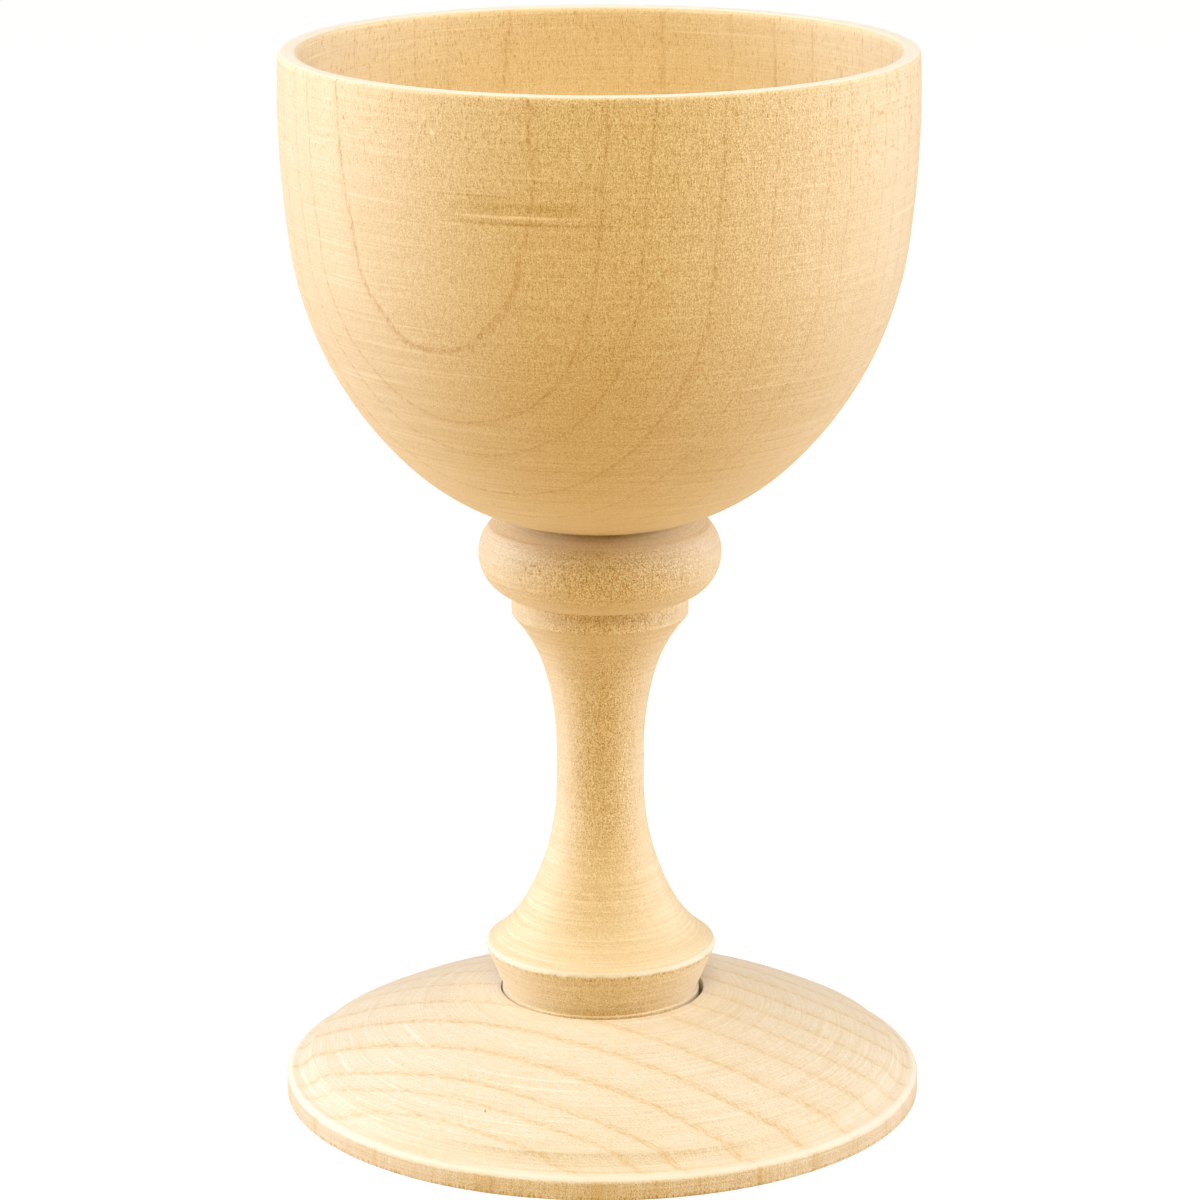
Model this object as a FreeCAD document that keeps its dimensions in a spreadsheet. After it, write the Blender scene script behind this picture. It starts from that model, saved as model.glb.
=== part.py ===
import FreeCAD, Part

import math
import os
from collections import namedtuple

import Sketcher

# A wooden chalice, 135 mm tall, made of two turned pieces of pale maple: a cup with its knop and
# stem, turned from one blank, and a separate foot. The stem ends in a short spigot that stands in a
# round recess in the middle of the foot. Lengths are in millimetres. The origin is the centre of
# the foot's underside, +Z is the axis of turning, and -Y is the front.

SIZES = [
    # the foot
    ("foot_radius", 40.9, "foot, across its upright rim"),
    ("foot_wall", 2.2, "upright rim of the foot"),
    ("foot_round_width", 1.25, "rounded edge above the rim, measured inwards"),
    ("foot_round_height", 0.75, "rounded edge above the rim, measured upwards"),
    ("foot_round_radius", 1.4, "curve of the rounded edge"),
    ("cove_width", 1.95, "hollow step above the rounded edge, inwards"),
    ("cove_height", 1.9, "hollow step above the rounded edge, upwards"),
    ("cove_radius", 4.2, "curve of the hollow step"),
    ("dome_height", 8.4, "shallow dome from the step to the recess"),
    ("dome_radius", 81.0, "curve of the dome"),
    ("recess_depth", 4.5, "recess for the spigot"),
    ("recess_clearance", 0.4, "gap round the spigot in its recess"),
    # the stem, from its spigot up to the collar
    ("spigot_radius", 12.7, "spigot that stands in the recess"),
    ("spigot_proud", 0.15, "top of the spigot above the edge of the recess"),
    ("spigot_step", 0.4, "ledge between the spigot and the cone above it"),
    ("cone_height", 5.9, "undercut cone below the flare"),
    ("flare_radius", 14.85, "sharp lower edge of the flare"),
    ("flare_lip_height", 0.5, "worn band above the sharp edge"),
    ("flare_lip_setback", 0.25, "how far the worn band leans in"),
    ("flare_bend_radius", 9.34, "stem where its lower curve changes"),
    ("flare_bend_height", 5.95, "from the worn band to that change"),
    ("flare_rise", 15.25, "from that change to the waist"),
    ("waist_radius", 5.57, "thinnest part of the stem"),
    ("waist_length", 4.5, "straight part at the waist"),
    ("neck_bend_radius", 7.02, "stem where its upper curve changes"),
    ("neck_bend_height", 10.3, "from the waist to that change"),
    ("neck_rise", 7.5, "from that change to the collar"),
    ("collar_radius", 11.22, "straight collar below the knop"),
    ("collar_height", 2.55, "straight collar below the knop"),
    # the knop and the groove under the cup
    ("knop_radius", 15.37, "widest part of the knop"),
    ("knop_lower_height", 5.45, "from the collar to the widest part"),
    ("knop_upper_height", 3.53, "from the widest part to the crease"),
    ("crease_radius", 14.0, "crease where the knop's shoulder starts"),
    ("groove_radius", 10.8, "bottom of the groove under the cup"),
    ("shoulder_height", 1.17, "from the crease to the groove"),
    # the cup
    ("under_radius", 15.6, "cup at the edge of its flatter underside"),
    ("under_height", 1.6, "from the groove to that edge"),
    ("belly_low_radius", 25.2, "cup where its lower curve changes"),
    ("belly_low_height", 6.8, "from the underside's edge to that change"),
    ("belly_high_inset", 1.18, "cup where its upper curve changes, inside its widest part"),
    ("belly_high_height", 26.9, "between the two changes"),
    ("cup_radius", 39.6, "widest part of the cup"),
    ("cup_height", 17.7, "from the upper change to the widest part"),
    ("rim_inset", 0.15, "outer edge of the rim, inside the widest part"),
    ("rim_height", 6.0, "from the widest part to the rim"),
    ("rim_thickness", 2.45, "wall of the cup at the rim"),
    ("wall_thickness", 3.3, "wall of the cup where the hollow starts to round in"),
    ("hollow_wall", 19.7, "nearly straight inside wall below the rim"),
    ("hollow_bowl", 33.8, "rounded inside below that wall"),
    ("rim_outer_round", 0.5, "rounding of the rim's outer edge"),
    ("rim_inner_round", 0.9, "rounding of the rim's inner edge"),
    # how the two pieces stand together
    ("stem_offset", 0.2, "spigot off the middle of its recess, towards the left"),
]

# A corner of a half outline. Its radius is measured from the axis and its rise from the corner
# before it, where None means level with it. Its joint is sharp, smooth where the two legs that
# meet there share a tangent, or upright where that tangent stands along the axis. The leg that
# leads to it is a line, an arc shaped by its smooth joints, a dish, which is an arc that leaves
# the axis level, or a bulge or a hollow, which are arcs whose radius the curve gives.
Corner = namedtuple("Corner", "name radius rise joint leg curve")


def corner(name, radius, rise=None, joint="sharp", leg="line", curve=None):
    return Corner(name, radius, rise, joint, leg, curve)


FOOT_OUTLINE = [
    corner("rim_foot", "Sizes.foot_radius"),
    corner("rim_top", "Sizes.foot_radius", "Sizes.foot_wall"),
    corner(
        "step",
        "Sizes.foot_radius - Sizes.foot_round_width",
        "Sizes.foot_round_height",
        leg="bulge",
        curve="Sizes.foot_round_radius",
    ),
    corner(
        "dome_edge",
        "Sizes.foot_radius - Sizes.foot_round_width - Sizes.cove_width",
        "Sizes.cove_height",
        leg="hollow",
        curve="Sizes.cove_radius",
    ),
    corner(
        "recess_lip",
        "Sizes.spigot_radius + Sizes.recess_clearance",
        "Sizes.dome_height",
        leg="bulge",
        curve="Sizes.dome_radius",
    ),
]

RECESS_OUTLINE = [
    corner("recess_floor", "Sizes.spigot_radius + Sizes.recess_clearance"),
    corner("recess_top", "Sizes.spigot_radius + Sizes.recess_clearance", "Sizes.recess_depth"),
]

BELLY_HIGH_RADIUS = "Sizes.cup_radius - Sizes.belly_high_inset"
RIM_RADIUS = "Sizes.cup_radius - Sizes.rim_inset"
INNER_RIM_RADIUS = RIM_RADIUS + " - Sizes.rim_thickness"

STEM_AND_CUP_OUTLINE = [
    corner("spigot_foot", "Sizes.spigot_radius"),
    corner("spigot_top", "Sizes.spigot_radius", "Sizes.recess_depth + Sizes.spigot_proud"),
    corner("cone_foot", "Sizes.spigot_radius - Sizes.spigot_step"),
    corner("flare_edge", "Sizes.flare_radius", "Sizes.cone_height"),
    corner("flare_lip", "Sizes.flare_radius - Sizes.flare_lip_setback", "Sizes.flare_lip_height"),
    corner("flare_bend", "Sizes.flare_bend_radius", "Sizes.flare_bend_height", "smooth", "arc"),
    corner("waist_foot", "Sizes.waist_radius", "Sizes.flare_rise", "smooth", "arc"),
    corner("waist_top", "Sizes.waist_radius", "Sizes.waist_length", "smooth"),
    corner("neck_bend", "Sizes.neck_bend_radius", "Sizes.neck_bend_height", "smooth", "arc"),
    corner("collar_foot", "Sizes.collar_radius", "Sizes.neck_rise", leg="arc"),
    corner("collar_top", "Sizes.collar_radius", "Sizes.collar_height"),
    corner("knop_middle", "Sizes.knop_radius", "Sizes.knop_lower_height", "upright", "arc"),
    corner("crease", "Sizes.crease_radius", "Sizes.knop_upper_height", leg="arc"),
    corner("groove", "Sizes.groove_radius", "Sizes.shoulder_height"),
    corner("under", "Sizes.under_radius", "Sizes.under_height", "smooth", "arc"),
    corner("belly_low", "Sizes.belly_low_radius", "Sizes.belly_low_height", "smooth", "arc"),
    corner("belly_high", BELLY_HIGH_RADIUS, "Sizes.belly_high_height", "smooth", "arc"),
    corner("cup_widest", "Sizes.cup_radius", "Sizes.cup_height", "upright", "arc"),
    corner("rim", RIM_RADIUS, "Sizes.rim_height", leg="arc"),
]

HOLLOW_OUTLINE = [
    corner(
        "hollow_shoulder",
        "Sizes.cup_radius - Sizes.wall_thickness",
        "Sizes.hollow_bowl",
        "smooth",
        "dish",
    ),
    corner("hollow_rim", INNER_RIM_RADIUS, "Sizes.hollow_wall", leg="arc"),
]

RECESS_FLOOR_LEVEL = (
    "Sizes.foot_wall + Sizes.foot_round_height + Sizes.cove_height + Sizes.dome_height"
    " - Sizes.recess_depth"
)


def total_rise(outline):
    """The height of an outline's last corner over its first point, as a formula."""
    return " + ".join(c.rise for c in outline if c.rise)


HOLLOW_FLOOR_LEVEL = total_rise(STEM_AND_CUP_OUTLINE) + " - Sizes.hollow_wall - Sizes.hollow_bowl"

doc = FreeCAD.newDocument("chalice")
sheet = doc.addObject("Spreadsheet::Sheet", "Sizes")
for row, (alias, size, meaning) in enumerate(SIZES, start=1):
    sheet.set(f"A{row}", meaning)
    sheet.set(f"B{row}", str(size))
    sheet.setAlias(f"B{row}", alias)
doc.recompute()


def value(formula):
    """What a formula of sizes comes to, in millimetres."""
    return float(sheet.evalExpression(formula))


def angle_between(start, end):
    """Direction from one point to another, in radians from outwards (+r) towards up (+z)."""
    return math.atan2(end.y - start.y, end.x - start.x)


def tangent_directions(points, outline):
    """The direction of travel at each smooth corner, or None where nothing fixes it.

    points[0] is on the axis and points[k + 1] is corner k. An upright joint gives its direction,
    and so does a straight leg beside a smooth joint. An arc turns as much after its chord as
    before it, so a known direction at one end gives the other: twice the chord's less that one.
    """
    directions = [None] * len(points)
    chords = [angle_between(a, b) for a, b in zip(points, points[1:])]
    for k, c in enumerate(outline):
        if c.joint == "upright":
            directions[k + 1] = math.pi / 2
        elif c.joint == "smooth" and c.leg == "line":
            directions[k + 1] = chords[k]
        elif c.joint == "smooth" and outline[k + 1].leg == "line":
            directions[k + 1] = chords[k + 1]
        if c.leg == "dish":
            directions[k] = 0.0
    for _ in outline:
        for k, c in enumerate(outline):
            if c.leg not in ("arc", "dish"):
                continue
            if directions[k] is None and directions[k + 1] is not None:
                directions[k] = 2 * chords[k] - directions[k + 1]
            elif directions[k + 1] is None and directions[k] is not None:
                directions[k + 1] = 2 * chords[k] - directions[k]
    return directions


def arc_between(start, end, direction):
    """The arc that leaves start in a direction and reaches end, and whether it turns left."""
    half_turn = angle_between(start, end) - direction
    radius = (end - start).Length / (2 * math.sin(half_turn))
    normal = FreeCAD.Vector(-math.sin(direction), math.cos(direction), 0)
    centre = start + normal * radius
    circle = Part.Circle(centre, FreeCAD.Vector(0, 0, 1), abs(radius))
    first, last = (start, end) if radius > 0 else (end, start)
    arc = Part.ArcOfCircle(circle, angle_between(centre, first), angle_between(centre, last))
    return arc, radius > 0


def half_section(body, name, base, outline):
    """A sketch of the half outline of a turned solid, closed along the axis.

    It starts on the axis at the height base, goes level to the first corner unless that corner
    has a rise, follows the corners and comes back level to the axis. Every radius and every rise
    is a constraint that its formula sets, and the tangent joints shape the arcs between them.
    """
    sketch = body.newObject("Sketcher::SketchObject", name)
    plane = [f for f in body.Origin.OriginFeatures if f.Role == "XZ_Plane"][0]
    sketch.AttachmentSupport = [(plane, "")]
    sketch.MapMode = "FlatFace"

    points = [FreeCAD.Vector(0, value(base), 0)]
    for c in outline:
        rise = value(c.rise) if c.rise else 0
        points.append(FreeCAD.Vector(value(c.radius), points[-1].y + rise, 0))
    directions = tangent_directions(points, outline)

    def bind(kind, first, second, size, label, formula):
        index = sketch.addConstraint(Sketcher.Constraint(kind, *first, *second, size))
        sketch.renameConstraint(index, label)
        sketch.setExpression("Constraints." + label, formula)

    origin = (-1, 1)
    legs = []
    for k, c in enumerate(outline):
        start, end = points[k], points[k + 1]
        left = True
        if c.leg == "line":
            shape = Part.LineSegment(start, end)
        elif c.curve:
            half_turn = math.asin((end - start).Length / 2 / value(c.curve))
            turn = half_turn if c.leg == "bulge" else -half_turn
            shape, left = arc_between(start, end, angle_between(start, end) - turn)
        else:
            shape, left = arc_between(start, end, directions[k])
        leg = sketch.addGeometry(shape, False)
        # a leg as (start point, end point, centre point), each a (geometry, position) pair
        legs.append(((leg, 1 if left else 2), (leg, 2 if left else 1), (leg, 3)))

    top = FreeCAD.Vector(0, points[-1].y, 0)
    lid = sketch.addGeometry(Part.LineSegment(points[-1], top), False)
    spine = sketch.addGeometry(Part.LineSegment(top, points[0]), False)
    legs.append(((lid, 1), (lid, 2), None))

    sketch.addConstraint(Sketcher.Constraint("Horizontal", lid))
    sketch.addConstraint(Sketcher.Constraint("Coincident", lid, 2, spine, 1))
    sketch.addConstraint(Sketcher.Constraint("Coincident", spine, 2, *legs[0][0]))
    sketch.addConstraint(Sketcher.Constraint("PointOnObject", *legs[0][0], -2))
    sketch.addConstraint(Sketcher.Constraint("PointOnObject", lid, 2, -2))
    if points[0].y == 0:
        sketch.addConstraint(Sketcher.Constraint("Horizontal", *origin, *legs[0][0]))
    else:
        bind("DistanceY", origin, legs[0][0], points[0].y, "base", base)

    for k, c in enumerate(outline):
        start, end, centre = legs[k]
        joined = "Coincident" if c.joint == "sharp" else "Tangent"
        sketch.addConstraint(Sketcher.Constraint(joined, *end, *legs[k + 1][0]))
        bind("DistanceX", origin, end, points[k + 1].x, c.name + "_radius", c.radius)
        if c.rise:
            bind("DistanceY", start, end, points[k + 1].y - points[k].y, c.name + "_rise", c.rise)
        else:
            sketch.addConstraint(Sketcher.Constraint("Horizontal", *start, *end))
        if c.joint == "upright":
            sketch.addConstraint(Sketcher.Constraint("Horizontal", *centre, *end))
        if c.leg == "dish":
            sketch.addConstraint(Sketcher.Constraint("PointOnObject", *centre, -2))
        if c.curve:
            index = sketch.addConstraint(Sketcher.Constraint("Radius", start[0], value(c.curve)))
            sketch.renameConstraint(index, c.name + "_curve")
            sketch.setExpression("Constraints." + c.name + "_curve", c.curve)
    return sketch


def turn(body, kind, name, base, outline):
    """Turns a half section about the axis: a Revolution adds wood and a Groove takes it away."""
    sketch = half_section(body, name + "_section", base, outline)
    feature = body.newObject("PartDesign::" + kind, name)
    feature.Profile = sketch
    feature.ReferenceAxis = (sketch, ["V_Axis"])
    feature.Angle = 360
    sketch.Visibility = False
    doc.recompute()
    return feature


def new_body(label):
    body = doc.addObject("PartDesign::Body", label)
    body.Label = label
    return body


def circle_edge(feature, radius, level):
    """The name of a feature's round edge of this radius at this level."""
    for number, edge in enumerate(feature.Shape.Edges, start=1):
        if edge.Degenerated or not isinstance(edge.Curve, Part.Circle):
            continue
        if abs(edge.Curve.Radius - radius) < 1e-4 and abs(edge.Curve.Center.z - level) < 1e-4:
            return f"Edge{number}"
    raise RuntimeError(f"{feature.Name} has no edge of radius {radius} at {level}")


def round_edge(body, name, radius, level, rounding):
    """Rounds one edge of the body, found by the formulas of its radius and level."""
    base = body.Tip
    fillet = body.newObject("PartDesign::Fillet", name)
    fillet.Base = (base, [circle_edge(base, value(radius), value(level))])
    fillet.Radius = value(rounding)
    fillet.setExpression("Radius", rounding)
    doc.recompute()


def make_foot():
    """The foot: a low dome with a hollow step and a rounded edge, and the recess in its middle."""
    foot = new_body("foot")
    turn(foot, "Revolution", "foot_dome", "0", FOOT_OUTLINE)
    turn(foot, "Groove", "foot_recess", RECESS_FLOOR_LEVEL, RECESS_OUTLINE)
    return foot


def make_bowl_and_stem():
    """The cup, knop and stem, turned from one piece, with the spigot on the recess floor."""
    body = new_body("bowl_and_stem")
    turn(body, "Revolution", "turned_outside", "0", STEM_AND_CUP_OUTLINE)
    turn(body, "Groove", "cup_hollow", HOLLOW_FLOOR_LEVEL, HOLLOW_OUTLINE)
    rim_level = total_rise(STEM_AND_CUP_OUTLINE)
    round_edge(body, "rim_outside", RIM_RADIUS, rim_level, "Sizes.rim_outer_round")
    round_edge(body, "rim_inside", INNER_RIM_RADIUS, rim_level, "Sizes.rim_inner_round")
    body.setExpression("Placement.Base.x", "-Sizes.stem_offset")
    body.setExpression("Placement.Base.z", RECESS_FLOOR_LEVEL)
    return body


pieces = [make_foot(), make_bowl_and_stem()]
doc.recompute()

for item in doc.Objects:
    if "Invalid" in item.State or "Error" in item.State:
        raise RuntimeError(f"{item.Name} failed: {item.State}")
for piece in pieces:
    if piece.Shape.isNull() or not piece.Shape.isValid() or len(piece.Shape.Solids) != 1:
        raise RuntimeError(f"{piece.Label} isn't one valid solid")

os.makedirs("parts", exist_ok=True)
for piece in pieces:
    piece.Shape.exportStep(os.path.join("parts", piece.Label + ".step"))
    box = piece.Shape.optimalBoundingBox()
    print(
        f"{piece.Label}: {box.XLength:.2f} x {box.YLength:.2f} x {box.ZLength:.2f} mm,"
        f" from z {box.ZMin:.2f} to {box.ZMax:.2f}, {piece.Shape.Volume / 1000:.2f} cm3"
    )
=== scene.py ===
# %% [markdown]
# # A turned wooden chalice
#
# This lesson dresses a small chalice of bare maple. The real one is two pieces of wood: a cup with
# its knop and stem, turned from one blank along the grain, and a foot, turned from a flat board.
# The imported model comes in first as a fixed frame. It gives the sizes that the looks must keep.

# %% Load the frame
import math

import bpy
import numpy as np
from mathutils import Euler, Matrix


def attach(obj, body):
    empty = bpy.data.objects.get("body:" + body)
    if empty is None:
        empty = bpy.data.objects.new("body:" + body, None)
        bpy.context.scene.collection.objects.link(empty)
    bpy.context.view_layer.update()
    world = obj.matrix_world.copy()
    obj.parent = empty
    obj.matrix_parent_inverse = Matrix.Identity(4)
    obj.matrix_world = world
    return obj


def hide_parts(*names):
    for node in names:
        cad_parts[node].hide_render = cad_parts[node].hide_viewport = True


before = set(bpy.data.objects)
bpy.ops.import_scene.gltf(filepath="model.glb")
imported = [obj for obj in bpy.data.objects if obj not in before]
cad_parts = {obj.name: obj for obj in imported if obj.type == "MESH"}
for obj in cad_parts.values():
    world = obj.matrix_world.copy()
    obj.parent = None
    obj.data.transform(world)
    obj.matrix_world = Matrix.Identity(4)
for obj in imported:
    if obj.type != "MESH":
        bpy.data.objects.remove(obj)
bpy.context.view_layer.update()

# %% [markdown]
# ## The camera
#
# The photograph looks down on the chalice by 15 degrees from a little over half a metre away, with
# a long lens. The camera is set the same way, so that every row of the picture can be compared.

# %% Set the camera
CAMERA_DISTANCE = 0.5732
CAMERA_HEIGHT = 0.2184
CAMERA_SIDE = -0.0002
CAMERA_PITCH = math.radians(15.0)
CAMERA_ROLL = math.radians(-0.09)
SENSOR_WIDTH = 36.0
FOCAL_LENGTH = 140.6
NEAREST_SEEN = 0.01

scene = bpy.context.scene
lens = bpy.data.cameras.new("photo_camera")
lens.sensor_width = SENSOR_WIDTH
lens.lens = FOCAL_LENGTH
lens.clip_start = NEAREST_SEEN
camera = bpy.data.objects.new("photo_camera", lens)
camera.location = (CAMERA_SIDE, -CAMERA_DISTANCE, CAMERA_HEIGHT)
level = Euler((math.pi / 2 - CAMERA_PITCH, 0, 0)).to_matrix()
camera.rotation_euler = (level @ Matrix.Rotation(CAMERA_ROLL, 3, "Z")).to_euler()
scene.collection.objects.link(camera)
scene.camera = camera
print("camera at", tuple(camera.location), "with a", FOCAL_LENGTH, "mm lens")

# %% [markdown]
# ## How a turned piece is drawn
#
# A piece that comes off a lathe is one half outline swept round an axis. The half outline is a
# chain of straight and round legs. A turner's curves flow into each other, so a round leg only
# needs the direction in which it starts, and its radius follows. Lengths here are millimetres,
# because that is how a turner's drawing has them, and the mesh is made in metres at the end.
#
# A heading is a direction in degrees: 0 is outwards, away from the axis, and 90 is up.

# %% Straight and round legs of an outline
STEP = 0.9
DEGREES_PER_STEP = 6


def straight(start, end):
    """Points on the line from start to end, about a step apart."""
    start, end = np.array(start, float), np.array(end, float)
    count = max(2, round(float(np.hypot(*(end - start))) / STEP) + 1)
    return start + np.linspace(0, 1, count)[:, None] * (end - start)


def leaving(start, end, heading):
    """Points on the arc that leaves start in a heading.

    An arc turns by twice the angle between its first heading and its chord. Its point after a
    share t of that turn lies along the chord's direction by sin(t turn / 2) over sin(turn / 2).
    """
    start, end = np.array(start, float), np.array(end, float)
    chord = end - start
    length, bearing = float(np.hypot(*chord)), math.atan2(chord[1], chord[0])
    half = (bearing - math.radians(heading) + math.pi) % (2 * math.pi) - math.pi
    turn = 2 * abs(math.degrees(half))
    count = max(5, round(length / STEP), round(turn / DEGREES_PER_STEP)) + 1
    share = np.linspace(0, 1, count)
    reach = length * np.sin(share * half) / math.sin(half)
    angle = math.radians(heading) + share * half
    return start + np.stack([reach * np.cos(angle), reach * np.sin(angle)], axis=1)


def arriving(start, end, heading):
    """The arc from start that reaches end in a heading: the leaving arc, drawn backwards."""
    return leaving(end, start, heading + 180)[::-1]


def bulging(start, end, radius):
    """The arc of a radius from start to end. It lies right of the chord, or left if negative.

    Half its turn is the angle whose sine is half the chord over the radius.
    """
    chord = np.array(end, float) - np.array(start, float)
    half = math.degrees(math.asin(float(np.hypot(*chord)) / 2 / radius))
    return leaving(start, end, math.degrees(math.atan2(chord[1], chord[0])) - half)


def first_heading(leg):
    """The heading of a leg's first bit."""
    return math.degrees(math.atan2(*(leg[1] - leg[0])[::-1]))


def last_heading(leg):
    """The heading of a leg's last bit, continued by half of its last change of direction."""
    (a, b, c) = leg[-3:]
    before = math.atan2(*(b - a)[::-1])
    after = math.atan2(*(c - b)[::-1])
    return math.degrees(after + (after - before) / 2)


print("a quarter arc ends heading", round(last_heading(leaving((0, 0), (10, 10), 0))), "degrees")

# %% [markdown]
# No edge on a lathe-turned piece is knife sharp. Sandpaper and hands round each one by a tenth or
# two, and that little round is what catches the light. So each corner between two legs is cut
# back by its own amount and bridged with a short curve that has the corner as its control point.

# %% Ease the corners and join the legs
BRIDGE_POINTS = 6
SAME_LENGTH = 1e-6
SAME_POINT = 1e-4


def distance_along(points):
    """How far each point of a chain lies from the first, measured along the chain."""
    return np.concatenate([[0], np.cumsum(np.hypot(*np.diff(points, axis=0).T))])


def cut_back(leg, first, last):
    """The leg without its first and last bit, both measured along it."""
    run = distance_along(leg)
    inside = (run > first + SAME_LENGTH) & (run < run[-1] - last - SAME_LENGTH)
    stops = np.concatenate([[first], run[inside], [run[-1] - last]])
    return np.stack([np.interp(stops, run, leg[:, 0]), np.interp(stops, run, leg[:, 1])], axis=1)


def outline(legs):
    """Joins legs, given as (points, easing of the corner after it), into one chain of points.

    The bridge over a corner is (1-t)^2 before + 2t(1-t) corner + t^2 after.
    """
    chain = []
    easings = [0] + [easing for _, easing in legs]
    t = np.linspace(0, 1, BRIDGE_POINTS)[:, None]
    for (leg, easing), easing_before in zip(legs, easings):
        leg_cut = cut_back(leg, easing_before, easing)
        if easing_before:
            corner, before = leg[0], chain[-1][-1]
            bridge = (1 - t) ** 2 * before + 2 * t * (1 - t) * corner + t**2 * leg_cut[0]
            chain.append(bridge)
        chain.append(leg_cut)
    points = np.vstack(chain)
    apart = np.hypot(*np.diff(points, axis=0).T) > SAME_POINT
    return points[np.concatenate([[True], apart])]


eased = outline([(straight((0, 0), (2, 0)), 0.5), (straight((2, 0), (2, 2)), 0)])
print("a corner eased by 0.5 mm makes a path of 4 mm", round(distance_along(eased)[-1], 2), "mm")

# %% [markdown]
# ## The cup, knop and stem
#
# The half outline starts at the middle of the spigot's underside, which stands on the floor of the
# recess in the foot. It goes up the undercut cone and the flare to the waist, through the collar,
# the knop and the groove, round the cup, over the rim and down into the hollow. The blank had its
# middle 0.2 mm left of the foot's. Each place on the outline is (distance from the axis, height).

# %% The cup's outline
CUP_AXIS_X = -0.2
SPIGOT_FLOOR = 8.75
OUTWARDS, UPRIGHT = 0, 90

SPIGOT_EDGE = (12.7, SPIGOT_FLOOR)
SPIGOT_SHOULDER = (12.7, 13.4)
CONE_FOOT = (12.3, 13.4)
FLARE_UNDERSIDE = (14.85, 19.3)
FLARE_LIP = (14.6, 19.8)
FLARE_MIDDLE = (9.34, 25.75)
WAIST_LOW = (5.57, 41.0)
WAIST_HIGH = (5.57, 45.5)
NECK = (7.02, 55.8)
COLLAR_LOW = (11.22, 63.3)
COLLAR_HIGH = (11.22, 65.85)
KNOP_WIDEST = (15.37, 71.3)
KNOP_TOP = (14.0, 74.83)
GROOVE = (10.8, 76.0)
CUP_UNDERSIDE = (15.6, 77.6)
BELLY_LOW = (25.2, 84.4)
BELLY_HIGH = (38.42, 111.3)
LIP_BELOW = (39.6, 129.0)
RIM_OUTSIDE = (39.45, 135.0)
RIM_INSIDE = (37.0, 135.0)
HOLLOW_SIDE = (36.3, 115.3)
HOLLOW_FLOOR = (0, 81.5)

flare_high = arriving(FLARE_MIDDLE, WAIST_LOW, UPRIGHT)
flare_low = arriving(FLARE_LIP, FLARE_MIDDLE, first_heading(flare_high))
neck_low = leaving(WAIST_HIGH, NECK, UPRIGHT)
neck_high = leaving(NECK, COLLAR_LOW, last_heading(neck_low))
belly_high = arriving(BELLY_HIGH, LIP_BELOW, UPRIGHT)
belly_middle = arriving(BELLY_LOW, BELLY_HIGH, first_heading(belly_high))
belly_low = arriving(CUP_UNDERSIDE, BELLY_LOW, first_heading(belly_middle))
dish = leaving(HOLLOW_FLOOR, HOLLOW_SIDE, OUTWARDS)
lip_inside = leaving(HOLLOW_SIDE, RIM_INSIDE, last_heading(dish))

cup_legs = [
    (straight((0, SPIGOT_FLOOR), SPIGOT_EDGE), 0.15),
    (straight(SPIGOT_EDGE, SPIGOT_SHOULDER), 0.12),
    (straight(SPIGOT_SHOULDER, CONE_FOOT), 0.06),
    (straight(CONE_FOOT, FLARE_UNDERSIDE), 0.1),
    (straight(FLARE_UNDERSIDE, FLARE_LIP), 0.15),
    (flare_low, 0),
    (flare_high, 0),
    (straight(WAIST_LOW, WAIST_HIGH), 0),
    (neck_low, 0),
    (neck_high, 0.2),
    (straight(COLLAR_LOW, COLLAR_HIGH), 0.2),
    (arriving(COLLAR_HIGH, KNOP_WIDEST, UPRIGHT), 0),
    (leaving(KNOP_WIDEST, KNOP_TOP, UPRIGHT), 0.15),
    (straight(KNOP_TOP, GROOVE), 0.15),
    (arriving(GROOVE, CUP_UNDERSIDE, first_heading(belly_low)), 0),
    (belly_low, 0),
    (belly_middle, 0),
    (belly_high, 0),
    (leaving(LIP_BELOW, RIM_OUTSIDE, UPRIGHT), 0.55),
    (straight(RIM_OUTSIDE, RIM_INSIDE), 0.95),
    (lip_inside[::-1], 0),
    (dish[::-1], 0),
]
cup_outline = outline(cup_legs)
print("the cup's outline has", len(cup_outline), "points, and reaches", cup_outline.max(0), "mm")

# %% [markdown]
# A mesh of a turned piece is a grid: one way along the outline and the other way round the axis.
# Where the outline starts and ends on the axis, a whole row would shrink to a point, so each end
# is one vertex with a fan of triangles. The distance travelled along the outline is kept on every
# vertex, because the marks of the turning tool follow it.

# %% Sweep an outline round its axis
COLUMNS = 240
MM_IN_METRE = 1000


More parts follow.
